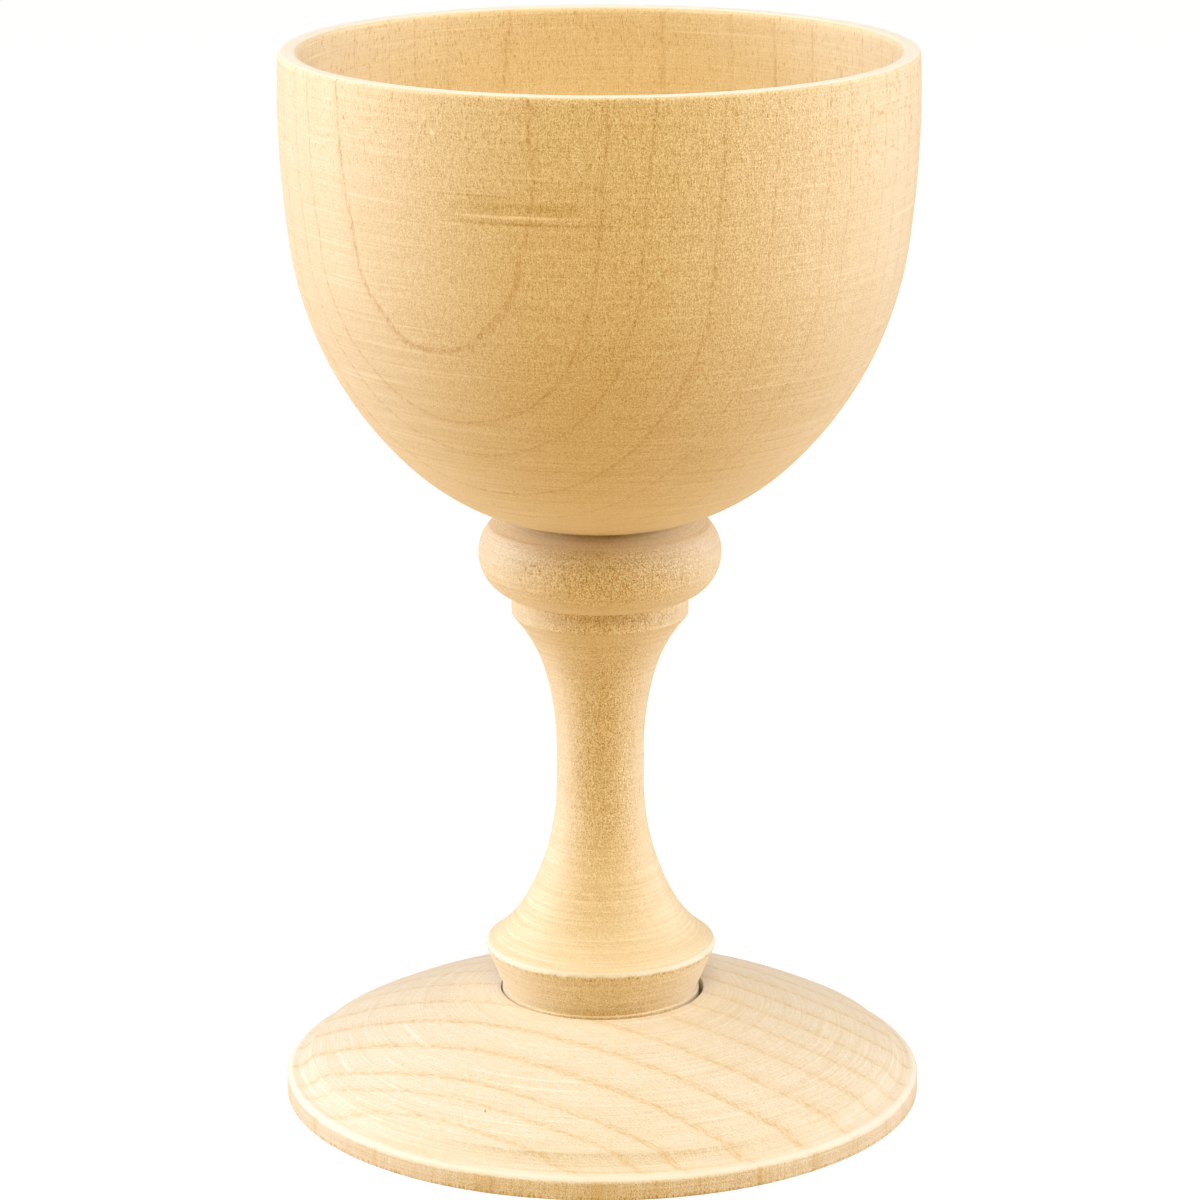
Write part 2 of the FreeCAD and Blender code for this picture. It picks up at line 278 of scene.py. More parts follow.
def turned_mesh(name, points, axis_x=0.0, worn_and_highlit=None):
    """A closed mesh of the outline swept round the axis.

    A vertex is (axis + r cos a, r sin a, z) at each angle a. worn, if given, is an array of what
    is taken off the radius, one row for each outline point and one column for each angle.
    """
    angles = np.linspace(0, 2 * math.pi, COLUMNS, endpoint=False)
    ring = points[1:-1]
    radius = np.repeat(ring[:, :1], COLUMNS, axis=1)
    if worn_and_highlit is not None:
        radius = radius - worn_and_highlit[1:-1]
    x, y = axis_x + radius * np.cos(angles), radius * np.sin(angles)
    z = np.repeat(ring[:, 1:], COLUMNS, axis=1)
    body = np.stack([x, y, z], axis=2).reshape(-1, 3)
    ends = np.array([[axis_x, 0, points[0, 1]], [axis_x, 0, points[-1, 1]]])
    vertices = np.vstack([body, ends]) / MM_IN_METRE

    rows = len(ring)
    here = np.arange(rows * COLUMNS).reshape(rows, COLUMNS)
    beside = np.roll(here, -1, axis=1)
    quads = np.stack([here[:-1], beside[:-1], beside[1:], here[1:]], axis=2).reshape(-1, 4)
    start, end = rows * COLUMNS, rows * COLUMNS + 1
    first_fan = np.stack([np.full(COLUMNS, start), beside[0], here[0]], axis=1)
    last_fan = np.stack([np.full(COLUMNS, end), here[-1], beside[-1]], axis=1)

    mesh = bpy.data.meshes.new(name)
    mesh.from_pydata(vertices, [], quads.tolist() + first_fan.tolist() + last_fan.tolist())
    mesh.shade_smooth()
    travel = distance_along(points)
    values = np.concatenate([np.repeat(travel[1:-1], COLUMNS), travel[[0, -1]]])
    mesh.attributes.new("travel", "FLOAT", "POINT").data.foreach_set("value", values)
    return mesh


def place(mesh, node, slot):
    """Puts a mesh in the scene in place of a node of the frame."""
    piece = bpy.data.objects.new(mesh.name, mesh)
    scene.collection.objects.link(piece)
    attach(piece, "root")
    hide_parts(node)
    triangles = sum(len(face.vertices) - 2 for face in mesh.polygons)
    print(mesh.name, "has", triangles, "triangles")
    return piece


rim_radius = RIM_OUTSIDE[0]
print("a column is", round(2 * math.pi * rim_radius / COLUMNS, 2), "mm wide at the rim")

# %% [markdown]
# The thin edge of the flare is end grain with nothing behind it, so it has crumbled a little all
# round. A tenth or two of a millimetre is missing in short bites.

# %% Make the cup
FLARE_EDGE = 19.3
EDGE_SPREAD = 0.25
BITE_SEED = 3
BITE_DEPTH = 0.15
DEEPEST_BITE = 1.5


def bites(seed, depth):
    """What is missing from an edge at each angle: random numbers, only where high."""
    rough = np.random.default_rng(seed).normal(size=COLUMNS)
    uneven = (np.roll(rough, 1) + 3 * rough) / 4
    return depth * np.clip(uneven, 0, DEEPEST_BITE)


def near(points, level, spread):
    """One on the outline at a level, falling as e to the minus square of height over spread."""
    return np.exp(-(((points[:, 1] - level) / spread) ** 2))


at_flare_edge = near(cup_outline, FLARE_EDGE, EDGE_SPREAD)
flare_bites = at_flare_edge[:, None] * bites(BITE_SEED, BITE_DEPTH)[None, :]
cup_mesh = turned_mesh("turned_cup", cup_outline, CUP_AXIS_X, flare_bites)
cup = place(cup_mesh, "bowl_and_stem", "cup_wood")

# %% [markdown]
# ## The foot
#
# The foot is a flat disc with an upright rim, a rounded edge, a hollow step and a shallow dome
# that rises to the recess. Its edge was left crisp and its underside flat.

# %% The foot's outline and mesh
FOOT_EDGE = (40.9, 0)
FOOT_RIM_TOP = (40.9, 2.2)
ROUNDED_TOP = (39.65, 2.95)
STEP_TOP = (37.7, 4.85)
RECESS_MOUTH = (13.1, 13.25)
RECESS_CORNER = (13.1, SPIGOT_FLOOR)
ROUNDED_RADIUS, STEP_RADIUS, DOME_RADIUS = 1.4, -4.2, 81.0

foot_legs = [
    (straight((0, 0), FOOT_EDGE), 0.15),
    (straight(FOOT_EDGE, FOOT_RIM_TOP), 0.1),
    (bulging(FOOT_RIM_TOP, ROUNDED_TOP, ROUNDED_RADIUS), 0.1),
    (bulging(ROUNDED_TOP, STEP_TOP, STEP_RADIUS), 0.12),
    (bulging(STEP_TOP, RECESS_MOUTH, DOME_RADIUS), 0.12),
    (straight(RECESS_MOUTH, RECESS_CORNER), 0.1),
    (straight(RECESS_CORNER, (0, SPIGOT_FLOOR)), 0),
]
foot_outline = outline(foot_legs)
foot = place(turned_mesh("turned_foot", foot_outline), "foot", "foot_wood")

# %% [markdown]
# ## Nodes and colours
#
# A material is a small network. One function adds a node, sets its settings, and links or sets
# its inputs. Colours are written as they look on a screen, and one function makes them linear.

# %% Helpers for materials
def add(tree, kind, inputs=None, out=0, **settings):
    """Adds a node and returns one of its outputs. An input that is given a socket gets a link.

    Inputs go by name or by number. Mix has its factor as 0 and its colours as 6 and 7, with the
    mixed colour as output 2. Map Range has a value as 0, which goes from 1 to 2, and the levels
    that it then gives as 3 and 4, which are 0 and 1 if left out.
    """
    node = tree.nodes.new(kind)
    for name, setting in settings.items():
        setattr(node, name, setting)
    for name, given in (inputs or {}).items():
        if isinstance(given, bpy.types.NodeSocket):
            tree.links.new(given, node.inputs[name])
        else:
            node.inputs[name].default_value = given
    return node.outputs[out]


def linear(code):
    """The linear colour of a screen colour such as #EBD2A0."""
    screen = np.array([int(code[i : i + 2], 16) for i in (1, 3, 5)]) / 255
    low, high = screen / 12.92, ((screen + 0.055) / 1.055) ** 2.4
    return (*np.where(screen <= 0.04045, low, high), 1.0)


def steps(socket, stops):
    """Sets a colour ramp's stops, given as (place, level) pairs with levels from 0 to 1."""
    elements = socket.node.color_ramp.elements
    for element, (at, level) in zip(elements, stops[:2]):
        element.position, element.color = at, (level, level, level, 1)
    for at, level in stops[2:]:
        elements.new(at).color = (level, level, level, 1)
    return socket


def bent(socket, points):
    """Sets a float curve's points, joined by straight lines."""
    curve = socket.node.mapping.curves[0]
    for point, at in zip(curve.points, (points[0], points[-1])):
        point.location = at
    for at in points[1:-1]:
        curve.points.new(*at)
    for point in curve.points:
        point.handle_type = "VECTOR"
    socket.node.mapping.update()
    return socket


def weighted(tree, total, parts):
    """A total with each part added to it, times its weight."""
    for part, weight in parts:
        summed = {0: part, 1: weight, 2: total}
        total = add(tree, "ShaderNodeMath", summed, operation="MULTIPLY_ADD")
    return total


print("the linear colour of #FAE9CC is", np.round(linear("#FAE9CC"), 3))

# %% [markdown]
# ## Growth rings as a solid pattern
#
# Maple is pale and even, and what draws it is the thin brown line at the end of each year's
# growth. The same rings run through the whole blank, so the pattern has to be solid: a ring is a
# level of one smooth function of the point in the wood. In this blank the pith lies far behind,
# so the levels are almost flat sheets that bow round it and lean where the tree did. On the
# cup the sheets nearest the front left come out as nested bowls of lines.

# %% The ring coordinate of each blank
# how fast the depth grows along x, y and z. A row is (at the middle, per mm, per mm squared)
CUP_ALONG_X_BY_Z = (-0.268, 0.0036, -0.00004)
CUP_ALONG_X_BY_X = 0.0051
CUP_ALONG_Y_BY_X = (-0.875, 0.0072)
CUP_ALONG_Z_BY_Z = (-0.108, 0.00014, 0.000013)
FOOT_ALONG_X_BY_X = (-0.48, 0.0031, 0.00004)
FOOT_ALONG_Y = -0.875


def cup_depth(tree, x, y, z):
    """How far a point lies out from the pith, in millimetres.

    It is (-0.875 + 0.0072 x) y + (-0.268 + 0.0051 x + 0.0036 z - 0.00004 z^2) x
    + (-0.108 + 0.00014 z + 0.000013 z^2) z, with z from the middle of the stem.
    """
    zz = add(tree, "ShaderNodeMath", {0: z, 1: z}, operation="MULTIPLY")
    middle, by_z, by_zz = CUP_ALONG_X_BY_Z
    along_x = weighted(tree, middle, ((zz, by_zz), (z, by_z), (x, CUP_ALONG_X_BY_X)))
    middle, by_x = CUP_ALONG_Y_BY_X
    along_y = weighted(tree, middle, ((x, by_x),))
    middle, by_z, by_zz = CUP_ALONG_Z_BY_Z
    along_z = weighted(tree, middle, ((zz, by_zz), (z, by_z)))
    return weighted(tree, 0.0, ((x, along_x), (y, along_y), (z, along_z)))


def foot_depth(tree, x, y, z):
    """The same for the board of the foot: -0.875 y + (-0.48 + 0.0031 x + 0.00004 x^2) x."""
    xx = add(tree, "ShaderNodeMath", {0: x, 1: x}, operation="MULTIPLY")
    middle, by_x, by_xx = FOOT_ALONG_X_BY_X
    along_x = weighted(tree, middle, ((xx, by_xx), (x, by_x)))
    return weighted(tree, 0.0, ((x, along_x), (y, FOOT_ALONG_Y)))


towards_bark = math.degrees(math.atan2(CUP_ALONG_X_BY_Z[0], -CUP_ALONG_Y_BY_X[0]))
print("half way up, the cup's rings face", round(towards_bark), "degrees from the front")

# %% [markdown]
# No two years are alike. Each ring has the depth at which its year ended and how dark its line
# came out. A curve turns the depth into a year count, so that one drawing of a year's growth
# serves them all: pale first wood, slowly deeper towards the end, a fine dark line, and a sharp
# return to pale.

# %% The calendar of rings
# each ring as (depth in millimetres, darkness of its line)
CUP_RINGS = [
    (-38, 0.5), (-33.8, 0.7), (-29.4, 0.5), (-25.6, 0.8), (-21.5, 0.6), (-17.6, 0.4), (-14.2, 0.8),
    (-10.5, 0.6), (-7.4, 0.7), (-4, 0.4), (-1.2, 0.7), (2, 0.6), (4.6, 0.7), (7, 0.55),
    (8.9, 0.6), (10.9, 0.35), (12.9, 0.65), (14.9, 0.7), (17.2, 0.35), (19.4, 0.8), (23.7, 0.9),
    (28.4, 0.75), (31, 0.8), (34.7, 1.0), (39.5, 0.6), (44.5, 0.6),
]  # fmt: skip
FOOT_RINGS = [
    (-44, 0.6), (-39, 0.7), (-34, 0.6), (-29, 0.8), (-24.2, 0.6), (-19, 0.7), (-13.8, 0.9),
    (-8.5, 0.9), (-3.2, 0.7), (1.4, 0.7), (6.4, 0.7), (12.4, 0.8), (17.9, 1.0), (23.8, 0.95),
    (29.5, 0.9), (32.5, 0.75), (36.3, 0.8), (41, 0.7), (46, 0.6),
]  # fmt: skip
DEEPEST = 50.0
USUAL_DARKNESS = 0.5

# one year's growth from its first wood to its last, as (share of the year, darkness)
CUP_YEAR = [(0.0, 0.15), (0.01, 0.0), (0.79, 0.0), (0.93, 0.2), (0.965, 1.0)]
FOOT_YEAR = [(0.0, 0.8), (0.07, 0.0), (0.55, 0.0), (0.84, 0.3), (0.93, 1.0)]


def year_lines(tree, depth, rings, year_stops):
    """How dark the ring lines are at a depth, from 0 to 1."""
    share = add(tree, "ShaderNodeMapRange", {0: depth, 1: -DEEPEST, 2: DEEPEST})
    places = [((at + DEEPEST) / (2 * DEEPEST), dark) for at, dark in rings]
    counts = [(place, (k + 1) / (len(rings) + 1)) for k, (place, _) in enumerate(places)]
    year = add(tree, "ShaderNodeFloatCurve", {"Value": share})
    bent(year, [(0.0, 0.0), *counts, (1.0, 1.0)])
    count = add(tree, "ShaderNodeMath", {0: year, 1: len(rings) + 1.0}, operation="MULTIPLY")
    into_year = add(tree, "ShaderNodeMath", {0: count}, operation="FRACT")
    growth = steps(add(tree, "ShaderNodeValToRGB", {"Fac": into_year}), year_stops)
    darkness = add(tree, "ShaderNodeFloatCurve", {"Value": share})
    bent(darkness, [(0.0, USUAL_DARKNESS), *places, (1.0, USUAL_DARKNESS)])
    return add(tree, "ShaderNodeMath", {0: growth, 1: darkness}, operation="MULTIPLY")


print(len(CUP_RINGS), "years in the cup's blank and", len(FOOT_RINGS), "in the foot's")

# %% [markdown]
# ## Flaws
#
# A few small flaws mark this chalice: a torn streak high on the cup, pin knots, scratches, loose
# fibres and a dent in the knop. Each is a soft spot with half sizes in millimetres, turned to face
# out of the surface.

# %% Where the flaws are
THINNEST_FLAW = 1.0
SOLID_WITHIN = 0.2


def on_cup(degrees, height):
    """The point on the outside of the cup at an angle from the front and a height."""
    outside = cup_outline[: cup_outline[:, 1].argmax()]
    rising = outside[np.argsort(outside[:, 1], kind="stable")]
    radius = float(np.interp(height, rising[:, 1], rising[:, 0]))
    angle = math.radians(degrees)
    return (radius * math.sin(angle), -radius * math.cos(angle), height)


def flaw_at(degrees, height, half_width, half_height, strength):
    """A flaw on the cup, as (place, turn, half sizes, strength). A strength below 0 is pale."""
    sizes = (half_width, max(THINNEST_FLAW, half_width / 3), half_height)
    return (on_cup(degrees, height), math.radians(degrees), sizes, strength)


# each as (degrees from the front, height, half width, half height, strength)
TORN_STREAK = [
    (-19, 122.0, 6.0, 1.4, 0.8), (-8, 121.9, 5.5, 1.1, 0.65), (-17, 120.1, 7.5, 0.45, 1.1),
    (-7, 120.0, 8.0, 0.25, 0.9), (-13, 120.8, 9.5, 0.25, -1.2), (-22, 123.2, 7.0, 0.2, 0.5),
]  # fmt: skip
SCRATCHES = [
    (-66, 122.4, 5.0, 0.12, 0.5), (-63, 122.9, 3.0, 0.1, 0.35),
    (64, 40.5, 0.16, 1.3, 1.2), (66, 36.0, 0.14, 0.9, 1.0),
]  # fmt: skip
LOOSE_FIBRES = [
    (-29.5, 130.2, 0.3, 0.6, -1.6), (-31, 131.8, 0.25, 0.4, -1.3), (-5, 131.0, 0.22, 0.22, -1.4),
    (-1, 127.0, 0.2, 0.2, -1.2), (21, 18.95, 0.3, 0.3, -2.5),
]  # fmt: skip
PIN_KNOTS = [
    (-49.5, 130.5, 0.28, 0.35, 1.5), (-24, 84.6, 0.2, 0.2, 1.8), (-35, 81.9, 0.18, 0.18, 1.6),
    (30, 83.4, 0.18, 0.18, 1.6), (45, 83.6, 0.18, 0.18, 1.6),
]  # fmt: skip
DENT_IN_KNOP = [
    (-33, 72.6, 0.9, 0.16, 1.5), (-34, 71.6, 1.0, 0.16, 1.5), (-37, 72.1, 0.2, 0.5, 1.5),
    (-29, 72.0, 0.2, 0.6, 1.8),
]  # fmt: skip
CUP_FLAWS = [
    flaw_at(*flaw) for flaw in TORN_STREAK + SCRATCHES + LOOSE_FIBRES + PIN_KNOTS + DENT_IN_KNOP
]
PIN_HOLE_IN_FOOT = ((-14.5, -29.4, 7.2), 0.0, (0.2, 0.35, 1.2), 2.2)


def flaws(tree, point, places):
    """The sum of all flaws at a point: each is strongest at its place and gone at its edge."""
    total = 0.0
    for at, turn, sizes, strength in places:
        turned = {"Vector": point, "Location": at, "Rotation": (0, 0, turn), "Scale": sizes}
        local = add(tree, "ShaderNodeMapping", turned, vector_type="TEXTURE")
        away = add(tree, "ShaderNodeVectorMath", {0: local}, out="Value", operation="LENGTH")
        near_it = {0: away, 1: 1.0, 2: SOLID_WITHIN, 3: 0.0, 4: strength}
        near_it = add(tree, "ShaderNodeMapRange", near_it)
        total = add(tree, "ShaderNodeMath", {0: near_it, 1: total}, operation="ADD")
    return total


print(len(CUP_FLAWS), "soft spots, the torn streak at", np.round(on_cup(-16, 121.9), 1), "mm")

# %% [markdown]
# ## Bare maple
#
# Bare maple is cream to honey, close-grained and without large pores. Nothing is on it, so the
# cut ends of its fibres stand up as a fine fuzz: up close every part glitters with tiny grains,
# pale on the side of the light and dark on the other, and at a slanting look the fuzz turns the
# wood paler. Longer fibres show as fine strokes along the grain. Thin sheets of ray cells stand
# across the rings and show as short dark ticks.
#
# The lathe leaves its own marks over all of that: rings under half a millimetre apart where the
# edge moved along, that fade in and out around the piece, and here and there one torn pale line.
#
# Every pattern is noise with a number of grains to a millimetre in each direction. Most are drawn
# in the wood's own directions: beside the fibres, outwards through the rings, and along the fibres.

# %% Sizes of the patterns
# these three are drawn on the point itself. The real fuzz is finer, and grains of a ninth of a
# millimetre are what still shows at arm's length
WANDER_PER_MM = (0.05, 0.05, 0.05)
FUZZ_PER_MM = (9.0, 9.0, 6.0)
NICKS_PER_MM = (3.4, 3.4, 0.4)
# these are drawn beside, through and along the fibres. A sheet of ray cells is drawn a sixth of a
# millimetre thick, which is more than the real ones have, so that it still shows
FIBRES_PER_MM = (5.5, 5.5, 0.9)
DASHES_PER_MM = (3.0, 0.8, 1.1)
RAYS_PER_MM = (6.0, 2.0, 1.3)
BANDS_PER_MM = (0.03, 0.9, 0.015)
# these are drawn on x, y and the distance along the outline
MARKS_PER_MM = (0.06, 0.06, 4.2)
TEARS_PER_MM = (0.05, 0.05, 2.4)
HIGHEST = 140.0


def grains(tree, vector, per_mm, detail):
    """Noise in grains, from 0 to 1 and mostly near 0.5."""
    sized = add(tree, "ShaderNodeMapping", {"Vector": vector, "Scale": per_mm})
    return add(tree, "ShaderNodeTexNoise", {"Vector": sized, "Scale": 1.0, "Detail": detail})


def by_height(tree, z, levels):
    """A level from 0 to 1 at every height, given as (height in millimetres, level) pairs."""
    share = add(tree, "ShaderNodeMapRange", {0: z, 1: 0.0, 2: HIGHEST})
    curve = add(tree, "ShaderNodeFloatCurve", {"Value": share})
    return bent(curve, [(at / HIGHEST, level) for at, level in levels])


def off_height(tree, z, height):
    """How far a height lies from another, up or down."""
    apart = add(tree, "ShaderNodeMath", {0: z, 1: height}, operation="SUBTRACT")
    return add(tree, "ShaderNodeMath", {0: apart}, operation="ABSOLUTE")


print("a grain of fuzz is", round(1 / FUZZ_PER_MM[0], 2), "mm wide")

# %% [markdown]
# ### Where a point lies in the wood
#
# The material starts from the point on the piece, in millimetres from the axis of its blank. It
# works out how deep the point lies among the rings, and where it lies beside and along the fibres.

# %% The point and the wood's directions
WANDER_BY = 0.35
# the front and back of the chalice, about where the sheets of growth face out: the deeper tone and
# stronger fuzz shade set there are partly painted shade
FRONT_BACK_AXIS = (-0.1, 0.995, 0.0)


def towards(tree, vector, direction):
    """How far a vector goes in a direction."""
    both = {0: vector, 1: direction}
    return add(tree, "ShaderNodeVectorMath", both, out="Value", operation="DOT_PRODUCT")


def in_the_wood(tree, wood):
    """The point, its depth and directions in the wood, and how its surface lies to them."""
    at = {}
    metres = add(tree, "ShaderNodeTexCoord", out="Object")
    to_mm = {"Vector": metres, "Scale": (MM_IN_METRE,) * 3, "Location": (-wood["axis_x"], 0, 0)}
    at["point"] = add(tree, "ShaderNodeMapping", to_mm)
    at["x"] = add(tree, "ShaderNodeSeparateXYZ", {"Vector": at["point"]}, out="X")
    at["y"], at["z"] = (at["x"].node.outputs[side] for side in ("Y", "Z"))

    # the sheets of growth wander by a third of a millimetre over a couple of centimetres
    at["wander"] = grains(tree, at["point"], WANDER_PER_MM, 3.0)
    swing = {0: at["wander"], 1: 0.3, 2: 0.7, 3: -WANDER_BY, 4: WANDER_BY}
    swing = add(tree, "ShaderNodeMapRange", swing)
    height = add(tree, "ShaderNodeMath", {0: at["z"], 1: wood["middle_z"]}, operation="SUBTRACT")
    depth = wood["depth_of"](tree, at["x"], at["y"], height)
    at["depth"] = add(tree, "ShaderNodeMath", {0: depth, 1: swing}, operation="ADD")
    beside = towards(tree, at["point"], wood["beside"])
    along = towards(tree, at["point"], wood["grain"])
    fibrewise = {"X": beside, "Y": at["depth"], "Z": along}
    at["fibrewise"] = add(tree, "ShaderNodeCombineXYZ", fibrewise)

    # wood is flat-sawn where its sheets of growth face out, about front and back, and end grain
    # where its fibres do. Facing front or back also sets where the tone is made deeper and the fuzz
    # shade stronger, partly as painted shade
    normal = add(tree, "ShaderNodeNewGeometry", out="Normal")
    flat_sawn = towards(tree, normal, FRONT_BACK_AXIS)
    at["flat_sawn"] = add(tree, "ShaderNodeMath", {0: flat_sawn}, operation="ABSOLUTE")
    at["end_grain"] = towards(tree, normal, wood["grain"])
    level_ground = add(tree, "ShaderNodeCombineXYZ", {"X": at["x"], "Y": at["y"], "Z": 0.0})
    at["outwards"] = towards(tree, normal, level_ground)

    # the noise of the fuzz and of the fibres is shared by most of what follows
    at["fuzz"] = grains(tree, at["point"], FUZZ_PER_MM, 0.0)
    at["fibres"] = grains(tree, at["fibrewise"], FIBRES_PER_MM, 2.0)
    return at


print("the wood is flat-sawn where it faces", FRONT_BACK_AXIS, "or the other way")

# %% [markdown]
# ### Fuzz, ring lines and rays
#
# The fuzz is painted shade and glint in the colour, over the real relief of the bump. It is set
# strongest on the knop and the stem, stronger where the surface faces front or back than at the
# sides, and weakest in the hollow. A ring line is a chain of short dashes, because it is cut at the
# slant of its fibres. Rays tear most near the rim, where the thin wood gave way to the edge of the
# tool.

# %% What the wood itself shows
LINE_JAG = 0.14


def fuzz_and_fibre_shade(tree, wood, at):
    """The painted shade and glints of the fuzz and the fibres, around 0: dark grains above it and
    bright ones below.
    """
    # how strongly the painted fuzz shade shows: more where the surface faces front or back, less in
    # the hollow, and by height
    by_side = add(tree, "ShaderNodeMapRange", {0: at["flat_sawn"], 1: 0.6, 2: 1.0, 3: 0.4, 4: 1.2})
    least_in_hollow = {0: at["outwards"], 1: -5.0, 2: 5.0, 3: 0.5, 4: 1.0}
    level = {0: by_side, 1: add(tree, "ShaderNodeMapRange", least_in_hollow)}
    level = add(tree, "ShaderNodeMath", level, operation="MULTIPLY")
    level = {0: level, 1: by_height(tree, at["z"], wood["fuzz"])}
    level = add(tree, "ShaderNodeMath", level, operation="MULTIPLY")
    painted_fuzz_shade = weighted(tree, -0.75, ((at["fibres"], 0.5), (at["fuzz"], 1.0)))
    return add(tree, "ShaderNodeMath", {0: painted_fuzz_shade, 1: level}, operation="MULTIPLY")


def ring_lines(tree, wood, at):
    """How dark the ring lines are: jagged by the fibres and broken into dashes."""
    jag = {0: at["fibres"], 1: 0.0, 2: 1.0, 3: -LINE_JAG, 4: LINE_JAG}
    jag = add(tree, "ShaderNodeMapRange", jag)
    jagged = add(tree, "ShaderNodeMath", {0: at["depth"], 1: jag}, operation="ADD")
    lines = year_lines(tree, jagged, wood["rings"], wood["year"])
    dashes = grains(tree, at["fibrewise"], DASHES_PER_MM, 2.0)
    dashes = add(tree, "ShaderNodeMapRange", {0: dashes, 1: 0.4, 2: 0.65, 3: 0.2, 4: 1.0})
    lines = add(tree, "ShaderNodeMath", {0: lines, 1: dashes}, operation="MULTIPLY")
    by_place = by_height(tree, at["z"], wood["lines"])
    return add(tree, "ShaderNodeMath", {0: lines, 1: by_place}, operation="MULTIPLY")


def ray_ticks(tree, at):
    """The ticks of the ray cells, from 0 to 1.5 and strongest near the rim."""
    rays = grains(tree, at["fibrewise"], RAYS_PER_MM, 1.0)
    rays = add(tree, "ShaderNodeMapRange", {0: rays, 1: 0.58, 2: 0.72})
    torn = add(tree, "ShaderNodeMapRange", {0: at["z"], 1: 116.0, 2: 128.0, 3: 0.3, 4: 1.5})
    return add(tree, "ShaderNodeMath", {0: rays, 1: torn}, operation="MULTIPLY")


print("a ring line is jagged by", LINE_JAG, "mm each way")

# %% [markdown]
# ### What the lathe and use did, and painted highlights
#
# Tool marks follow the outline and fade in and out around the piece. They are strongest where the
# edge cut across the ends of the fibres, and tear a pale line or two there. The nicks in a sharp
# edge are a third of a millimetre apart. A worn edge is paled, partly as wear and partly as a
# painted highlight, and the flat top of the cup's rim is paled as a painted highlight.

# %% Tool marks and worn edges
def tool_marks(tree, at):
    """The tool marks, around 0, and the torn lines."""
    across = add(tree, "ShaderNodeMath", {0: at["end_grain"]}, operation="ABSOLUTE")
    across = add(tree, "ShaderNodeMapRange", {0: across, 1: 0.05, 2: 0.6, 3: 0.8, 4: 1.3})
    travel = add(tree, "ShaderNodeAttribute", out="Fac", attribute_name="travel")
    around = add(tree, "ShaderNodeCombineXYZ", {"X": at["x"], "Y": at["y"], "Z": travel})
    marks = grains(tree, around, MARKS_PER_MM, 2.0)
    marks = add(tree, "ShaderNodeMath", {0: marks, 1: 0.5}, operation="SUBTRACT")
    marks = add(tree, "ShaderNodeMath", {0: marks, 1: across}, operation="MULTIPLY")
    tears = grains(tree, around, TEARS_PER_MM, 0.0)
    tears = add(tree, "ShaderNodeMapRange", {0: tears, 1: 0.7, 2: 0.8})
    tears = add(tree, "ShaderNodeMath", {0: tears, 1: at["fuzz"]}, operation="MULTIPLY")
    return marks, tears


def nicks_in_edge(tree, wood, at):
    """The nicks in the sharp edge, gone a third of a millimetre above and below it."""
    nicks = grains(tree, at["point"], NICKS_PER_MM, 1.0)
    nicks = add(tree, "ShaderNodeMapRange", {0: nicks, 1: 0.5, 2: 0.62})
    at_edge = {0: off_height(tree, at["z"], wood["nicked_edge"]), 1: 0.35, 2: 0.1}
    at_edge = add(tree, "ShaderNodeMapRange", at_edge)
    return add(tree, "ShaderNodeMath", {0: nicks, 1: at_edge}, operation="MULTIPLY")


def paled(tree, wood, at):
    """How far the wood is paled, from 0 to 1: as wear with painted highlight on the worn edge, and
    as painted highlight on the top of the cup's rim.
    """
    worn_and_highlit = {0: off_height(tree, at["z"], wood["worn_highlit_edge"]), 1: 0.35, 2: 0.1, 3: 0.0, 4: 0.8}
    worn_and_highlit = add(tree, "ShaderNodeMapRange", worn_and_highlit)
    at_rim = add(tree, "ShaderNodeMapRange", {0: at["z"], 1: 131.0, 2: 133.5})
    painted_rim_highlight = add(tree, "ShaderNodeMapRange", {0: at["end_grain"], 1: 0.75, 2: 0.93})
    painted_rim_highlight = add(tree, "ShaderNodeMath", {0: painted_rim_highlight, 1: at_rim}, operation="MULTIPLY")
    return add(tree, "ShaderNodeMath", {0: painted_rim_highlight, 1: worn_and_highlit}, operation="MAXIMUM")


print("tool marks are about", round(2 / MARKS_PER_MM[2], 2), "mm apart")

# %% [markdown]
# ### The material
#
# The tone goes from 0 for the pale wood to 1 for the deep. Faint bands within a year and slow
# changes over a few centimetres swing it round its middle, and wood that faces front or back is
# deeper than wood at the sides: partly flat-sawn figure, and partly painted shade on the front with
# painted light on the lamp-lit sides. What fuzz, tool marks and small tears add to the colour is
# painted shade and glint: it darkens all colours by the same step on a screen, and brightens them
# by as much where it stands for catching the light.

# %% A material for turned maple
MIDDLE_TONE = 0.5
BANDS_WEIGHT = 0.3
WANDER_WEIGHT = 0.25
# the colour toward which the painted shade of fuzz and tool marks, and the real rays, nicks and
# flaws, darken the wood
SHADE_AND_MARK_TINT = "#DAC884"
# the pale colour of worn edges and of painted highlight on the edges and the rim top
PALED_WOOD = "#FFFDF7"
RELIEF_DEPTH = 0.00006


